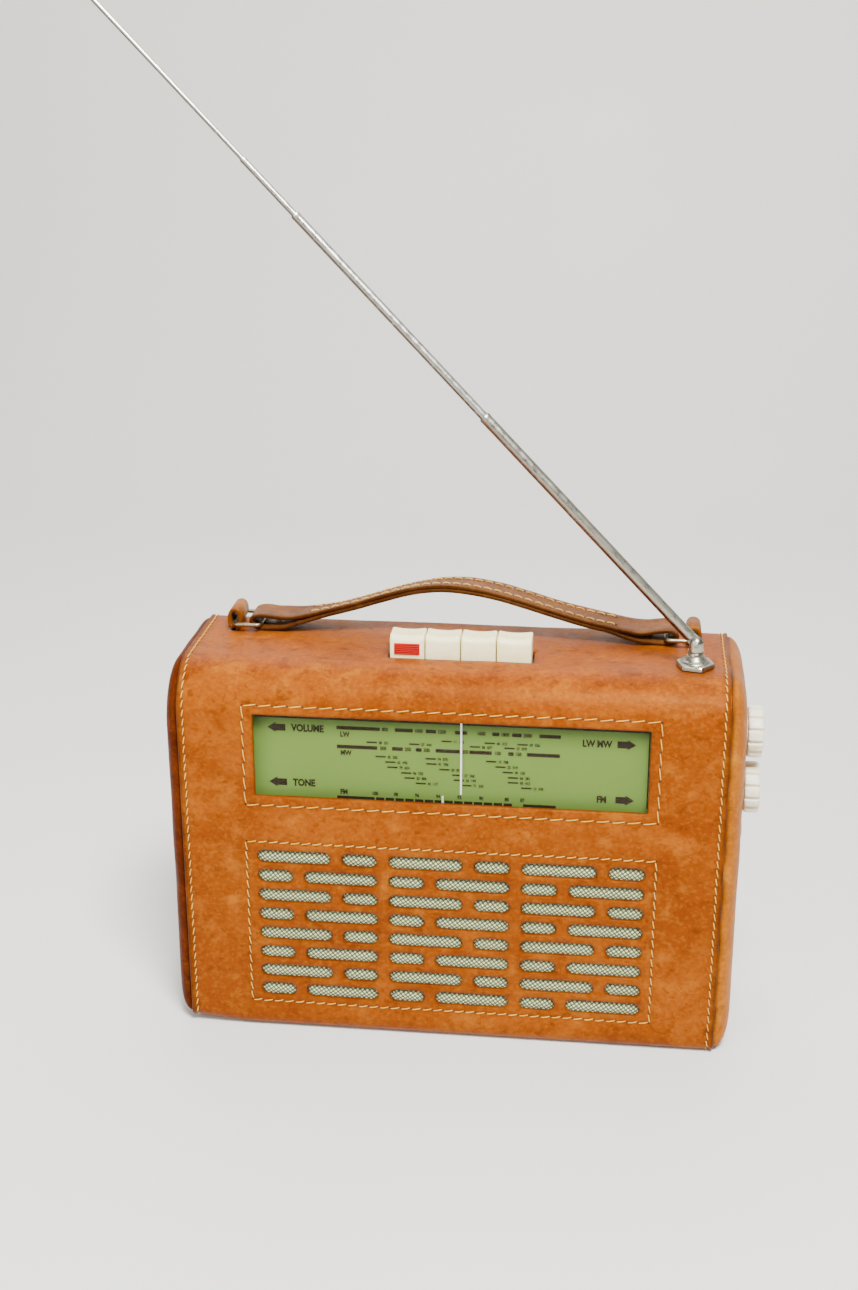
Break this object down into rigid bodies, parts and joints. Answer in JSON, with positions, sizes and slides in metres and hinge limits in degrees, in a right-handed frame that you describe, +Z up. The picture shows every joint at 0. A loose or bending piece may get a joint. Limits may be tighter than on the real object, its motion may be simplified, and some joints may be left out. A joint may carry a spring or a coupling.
{
  "type": "portable transistor radio",
  "caption": "Leather-cased portable transistor radio with strap handle, piano keys, dial window, slotted grille, side knobs and telescopic antenna",
  "frame": {"origin": "middle of the flat underside of the case", "axes": "+Z up, front with dial and grille towards -Y, tuning knobs towards +X"},
  "size_m": [0.344, 0.0948, 0.5385],
  "materials": {
    "leather_tan": "waxed vegetable-tanned saddle leather, mottled, worn along its edges",
    "leather_end_dark": "moulded saddle leather, darkened reddish brown",
    "leather_end_light": "moulded saddle leather, lighter yellowish tan",
    "leather_strap": "two-layer stitched saddle leather",
    "shell_board": "dark moulded liner",
    "cloth": "grey-green woven loudspeaker cloth",
    "clear_acrylic": "clear acrylic",
    "dial_green": null,
    "zinc_steel": "zinc plated sheet steel",
    "needle_white": "white painted needle",
    "cone_paper": "black pressed paper",
    "magnet_metal": "grey magnet",
    "board_laminate": "brown phenolic laminate",
    "can_aluminium": "plain aluminium screening",
    "component_body": "lacquered component bodies",
    "ferrite": "dark sintered ferrite",
    "coil_former": "waxed silk-covered wire on a paper former",
    "black_plastic": "black moulded plastic",
    "brass_part": "turned brass",
    "drum_plastic": "natural nylon",
    "ivory_plastic": "ivory moulded plastic",
    "key_cream": "cream moulded plastic",
    "marker_red": "red moulded plastic, ribbed",
    "nickel": "nickel plating, slightly dulled",
    "cell_jacket": "plain painted dry cell jackets"
  },
  "bodies": {
    "case": {"leather_wrap": "leather_tan", "left_end_panel": "leather_end_dark", "right_end_panel": "leather_end_light", "inner_shell": "shell_board", "grille_cloth": "cloth", "dial_window": "clear_acrylic", "dial_scale": "dial_green", "chassis": "zinc_steel", "pointer_rails": "zinc_steel", "speaker_frame": "zinc_steel", "speaker_cone": "cone_paper", "speaker_magnet": "magnet_metal", "circuit_board": "board_laminate", "if_cans": "can_aluminium", "transistors": "can_aluminium", "passives": "component_body", "ferrite_rod": "ferrite", "ferrite_coils": "coil_former", "rod_clips": "black_plastic", "gang_frame": "zinc_steel", "fm_tuner_can": "can_aluminium", "control_pots": "zinc_steel", "tuning_bushes": "brass_part", "knob_washers": "nickel", "key_switch": "zinc_steel", "earphone_socket": "nickel", "battery_holder": "black_plastic", "battery_cells": "cell_jacket", "battery_contacts": "zinc_steel", "antenna_nut": "nickel", "antenna_ferrule": "nickel", "handle_tabs": "leather_strap", "stud_posts": "nickel", "flap_welt": "leather_tan"},
    "am_pointer": {"am_pointer": "needle_white"},
    "fm_pointer": {"fm_pointer": "needle_white"},
    "am_gang": {"gang_rotor": "can_aluminium", "am_drum": "drum_plastic"},
    "fm_drum": {"fm_drum": "drum_plastic"},
    "volume_knob": {"volume_knob": "ivory_plastic"},
    "tone_knob": {"tone_knob": "ivory_plastic"},
    "am_knob": {"am_knob": "ivory_plastic"},
    "fm_knob": {"fm_knob": "ivory_plastic"},
    "key_1": {"key_1": "key_cream", "key_marker": "marker_red"},
    "key_2": {"key_2": "key_cream"},
    "key_3": {"key_3": "key_cream"},
    "key_4": {"key_4": "key_cream"},
    "antenna_stem": {"antenna_stem": "nickel"},
    "antenna_tube_1": {"antenna_tube_1": "nickel"},
    "antenna_tube_2": {"antenna_tube_2": "nickel"},
    "antenna_tube_3": {"antenna_tube_3": "nickel"},
    "antenna_tube_4": {"antenna_tube_4": "nickel", "antenna_tip": "nickel"},
    "handle": {"handle_strap": "leather_strap", "handle_rivets": "nickel"},
    "ring_left": {"ring_left": "nickel"},
    "ring_right": {"ring_right": "nickel"},
    "rear_flap": {"rear_flap": "leather_tan", "flap_studs": "nickel"}
  },
  "joints": [
    {"name": "volume_turn", "type": "hinge", "parent": "case", "child": "volume_knob", "pos_m": [-0.151, 0.016, 0.17], "axis": [-1, 0, 0], "range_deg": [0, 300]},
    {"name": "tone_turn", "type": "hinge", "parent": "case", "child": "tone_knob", "pos_m": [-0.151, 0.016, 0.1395], "axis": [-1, 0, 0], "range_deg": [0, 270]},
    {"name": "am_tuning", "type": "hinge", "parent": "case", "child": "am_knob", "pos_m": [0.151, -0.015, 0.17], "axis": [1, 0, 0], "range_deg": [-908.55, 785.77]},
    {"name": "am_pointer_slide", "type": "slide", "parent": "case", "child": "am_pointer", "axis": [1, 0, 0], "range_m": [-0.0559, 0.0484]},
    {"name": "am_gang_turn", "type": "hinge", "parent": "case", "child": "am_gang", "pos_m": [0.072, -0.015, 0.084], "axis": [0, -1, 0], "range_deg": [-97.36, 84.34]},
    {"name": "fm_tuning", "type": "hinge", "parent": "case", "child": "fm_knob", "pos_m": [0.151, -0.015, 0.1395], "axis": [1, 0, 0], "range_deg": [-753.03, 941.29]},
    {"name": "fm_pointer_slide", "type": "slide", "parent": "case", "child": "fm_pointer", "axis": [1, 0, 0], "range_m": [-0.0464, 0.0579]},
    {"name": "fm_drum_turn", "type": "hinge", "parent": "case", "child": "fm_drum", "pos_m": [0.085, -0.015, 0.029], "axis": [0, -1, 0], "range_deg": [-147.42, 184.03]},
    {"name": "antenna_swivel", "type": "hinge", "parent": "case", "child": "antenna_stem", "pos_m": [0.12, -0.014, 0.205], "axis": [0, 0, 1], "range_deg": [-180, 180]},
    {"name": "antenna_tilt", "type": "hinge", "parent": "antenna_stem", "child": "antenna_tube_1", "pos_m": [0.12, -0.014, 0.2154], "axis": [0, 1, 0], "range_deg": [-40.3, 43.7]},
    {"name": "tube_2_slide", "type": "slide", "parent": "antenna_tube_1", "child": "antenna_tube_2", "axis": [-0.6909, 0, 0.723], "range_m": [-0.129, 0]},
    {"name": "tube_3_slide", "type": "slide", "parent": "antenna_tube_2", "child": "antenna_tube_3", "axis": [-0.6909, 0, 0.723], "range_m": [-0.0335, 0.086]},
    {"name": "tube_4_slide", "type": "slide", "parent": "antenna_tube_3", "child": "antenna_tube_4", "axis": [-0.6909, 0, 0.723], "range_m": [-0.119, 0]},
    {"name": "handle_lift", "type": "slide", "parent": "case", "child": "handle", "axis": [0, 0, 1], "range_m": [0, 0.0078]},
    {"name": "ring_left_swing", "type": "hinge", "parent": "case", "child": "ring_left", "pos_m": [-0.12, 0.023, 0.207], "axis": [0, -1, 0], "range_deg": [-0.2, 35.3]},
    {"name": "ring_right_swing", "type": "hinge", "parent": "case", "child": "ring_right", "pos_m": [0.12, 0.023, 0.207], "axis": [0, 1, 0], "range_deg": [-0.2, 35.3]},
    {"name": "flap_hinge", "type": "hinge", "parent": "case", "child": "rear_flap", "pos_m": [0, 0.0478, 0.1862], "axis": [1, 0, 0], "range_deg": [0, 110]},
    {"name": "key_1_press", "type": "slide", "parent": "case", "child": "key_1", "axis": [0, 0, -1], "range_m": [0, 0.005], "stiffness_N_per_m": 150, "springref_m": -0.015},
    {"name": "key_2_press", "type": "slide", "parent": "case", "child": "key_2", "axis": [0, 0, -1], "range_m": [0, 0.005], "stiffness_N_per_m": 150, "springref_m": -0.015},
    {"name": "key_3_press", "type": "slide", "parent": "case", "child": "key_3", "axis": [0, 0, -1], "range_m": [0, 0.005], "stiffness_N_per_m": 150, "springref_m": -0.015},
    {"name": "key_4_press", "type": "slide", "parent": "case", "child": "key_4", "axis": [0, 0, -1], "range_m": [0, 0.005], "stiffness_N_per_m": 150, "springref_m": -0.015}
  ],
  "couplings": [
    {"joint": "am_pointer_slide", "follows": "am_tuning", "m_per_rad": 0.0035},
    {"joint": "am_gang_turn", "follows": "am_tuning", "ratio": 0.10606},
    {"joint": "fm_pointer_slide", "follows": "fm_tuning", "m_per_rad": 0.0035},
    {"joint": "fm_drum_turn", "follows": "fm_tuning", "ratio": 0.19444},
    {"joint": "ring_left_swing", "follows": "handle_lift", "rad_per_m": 78.316},
    {"joint": "ring_right_swing", "follows": "handle_lift", "rad_per_m": 78.316}
  ]
}
